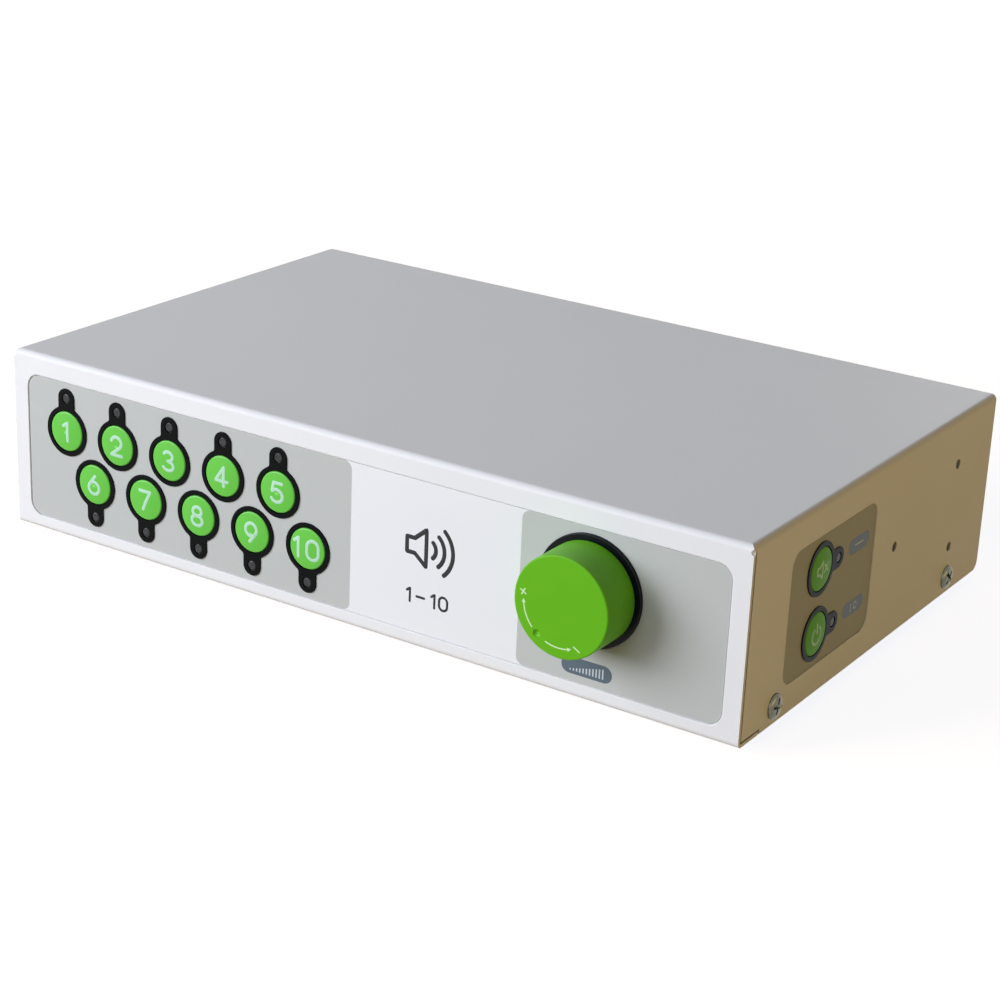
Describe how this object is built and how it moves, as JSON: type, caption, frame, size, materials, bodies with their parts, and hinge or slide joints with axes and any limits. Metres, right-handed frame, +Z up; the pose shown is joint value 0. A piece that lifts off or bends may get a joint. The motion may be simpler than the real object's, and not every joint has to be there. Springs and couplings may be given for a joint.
{
  "type": "speaker selector switch",
  "caption": "Desktop speaker selector: folded white steel case with green round selector keys, a green volume knob, side mute and power keys, and a row of jack sockets behind.",
  "frame": {"origin": "on the surface that the feet stand on, under the middle of the whole outline", "axes": "+X to the right along the front panel, -Y towards the user, +Z up"},
  "size_m": [0.2526, 0.1726, 0.059],
  "materials": {
    "cover_paint": "white powder coat, fine satin texture",
    "chassis_paint": "white powder coat, fine satin texture",
    "screw_zinc": "bright zinc plate",
    "foot_rubber": "matte black rubber",
    "front_film": "printed film, white with grey-green key and knob fields",
    "side_film": "printed film, grey-green with slate legend pills",
    "bezel_black": "moulded black, satin",
    "light_pipe": "smoky translucent",
    "switch_black": "moulded black",
    "plunger_black": "moulded black",
    "lamp_body": "clear to milky resin",
    "board_green": "glass laminate with green solder resist",
    "spacer_nylon": "natural nylon",
    "trim_black": "moulded black, polished",
    "control_metal": "nickel-plated zinc and steel",
    "standoff_brass": "turned",
    "socket_black": "moulded black",
    "nut_nickel": "nickel plate",
    "relay_black": "moulded black",
    "capacitor_sleeve": "shrunk dark blue sleeve",
    "chip_black": "moulded epoxy",
    "header_white": "moulded off-white",
    "ribbon_grey": "grey flat cable",
    "key_green": "moulded green, pale numerals",
    "knob_green": "moulded yellow-green, satin",
    "shaft_aluminium": "turned",
    "clip_steel": "blued spring steel"
  },
  "bodies": {
    "case": {"top_cover": "cover_paint", "base_chassis": "chassis_paint", "case_screws": "screw_zinc", "rubber_feet": "foot_rubber", "foot_screws": "screw_zinc", "front_overlay": "front_film", "side_overlay": "side_film", "key_bezels": "bezel_black", "light_pipes": "light_pipe", "tact_switches": "switch_black", "indicator_lamps": "lamp_body", "front_key_board": "board_green", "side_key_board": "board_green", "panel_studs": "screw_zinc", "board_spacers": "spacer_nylon", "stud_nuts": "screw_zinc", "knob_trim_ring": "trim_black", "control_bushing": "control_metal", "control_housing": "control_metal", "bushing_washer": "control_metal", "bushing_nut": "control_metal", "control_board": "board_green", "main_board": "board_green", "board_standoffs": "standoff_brass", "board_screws": "screw_zinc", "audio_sockets": "socket_black", "supply_inlet": "socket_black", "socket_nuts": "nut_nickel", "selector_relays": "relay_black", "filter_capacitors": "capacitor_sleeve", "control_chips": "chip_black", "cable_headers": "header_white", "ribbon_cables": "ribbon_grey"},
    "key_1": {"key_cap_1": "key_green", "switch_plunger_1": "plunger_black"},
    "key_2": {"key_cap_2": "key_green", "switch_plunger_2": "plunger_black"},
    "key_3": {"key_cap_3": "key_green", "switch_plunger_3": "plunger_black"},
    "key_4": {"key_cap_4": "key_green", "switch_plunger_4": "plunger_black"},
    "key_5": {"key_cap_5": "key_green", "switch_plunger_5": "plunger_black"},
    "key_6": {"key_cap_6": "key_green", "switch_plunger_6": "plunger_black"},
    "key_7": {"key_cap_7": "key_green", "switch_plunger_7": "plunger_black"},
    "key_8": {"key_cap_8": "key_green", "switch_plunger_8": "plunger_black"},
    "key_9": {"key_cap_9": "key_green", "switch_plunger_9": "plunger_black"},
    "key_10": {"key_cap_10": "key_green", "switch_plunger_10": "plunger_black"},
    "key_11": {"key_cap_11": "key_green", "switch_plunger_11": "plunger_black"},
    "key_12": {"key_cap_12": "key_green", "switch_plunger_12": "plunger_black"},
    "knob": {"volume_knob": "knob_green", "control_shaft": "shaft_aluminium", "knob_clip": "clip_steel"}
  },
  "joints": [
    {"name": "key_1_press", "type": "slide", "parent": "case", "child": "key_1", "axis": [0, 1, 0], "range_m": [0, 0.0005], "stiffness_N_per_m": 300, "springref_m": -0.003},
    {"name": "key_2_press", "type": "slide", "parent": "case", "child": "key_2", "axis": [0, 1, 0], "range_m": [0, 0.0005], "stiffness_N_per_m": 300, "springref_m": -0.003},
    {"name": "key_3_press", "type": "slide", "parent": "case", "child": "key_3", "axis": [0, 1, 0], "range_m": [0, 0.0005], "stiffness_N_per_m": 300, "springref_m": -0.003},
    {"name": "key_4_press", "type": "slide", "parent": "case", "child": "key_4", "axis": [0, 1, 0], "range_m": [0, 0.0005], "stiffness_N_per_m": 300, "springref_m": -0.003},
    {"name": "key_5_press", "type": "slide", "parent": "case", "child": "key_5", "axis": [0, 1, 0], "range_m": [0, 0.0005], "stiffness_N_per_m": 300, "springref_m": -0.003},
    {"name": "key_6_press", "type": "slide", "parent": "case", "child": "key_6", "axis": [0, 1, 0], "range_m": [0, 0.0005], "stiffness_N_per_m": 300, "springref_m": -0.003},
    {"name": "key_7_press", "type": "slide", "parent": "case", "child": "key_7", "axis": [0, 1, 0], "range_m": [0, 0.0005], "stiffness_N_per_m": 300, "springref_m": -0.003},
    {"name": "key_8_press", "type": "slide", "parent": "case", "child": "key_8", "axis": [0, 1, 0], "range_m": [0, 0.0005], "stiffness_N_per_m": 300, "springref_m": -0.003},
    {"name": "key_9_press", "type": "slide", "parent": "case", "child": "key_9", "axis": [0, 1, 0], "range_m": [0, 0.0005], "stiffness_N_per_m": 300, "springref_m": -0.003},
    {"name": "key_10_press", "type": "slide", "parent": "case", "child": "key_10", "axis": [0, 1, 0], "range_m": [0, 0.0005], "stiffness_N_per_m": 300, "springref_m": -0.003},
    {"name": "key_11_press", "type": "slide", "parent": "case", "child": "key_11", "axis": [-1, 0, 0], "range_m": [0, 0.0005], "stiffness_N_per_m": 300, "springref_m": -0.003},
    {"name": "key_12_press", "type": "slide", "parent": "case", "child": "key_12", "axis": [-1, 0, 0], "range_m": [0, 0.0005], "stiffness_N_per_m": 300, "springref_m": -0.003},
    {"name": "knob_turn", "type": "hinge", "parent": "case", "child": "knob", "pos_m": [0.0787, -0.0722, 0.0346], "axis": [0, 1, 0], "range_deg": [-7, 293]}
  ]
}
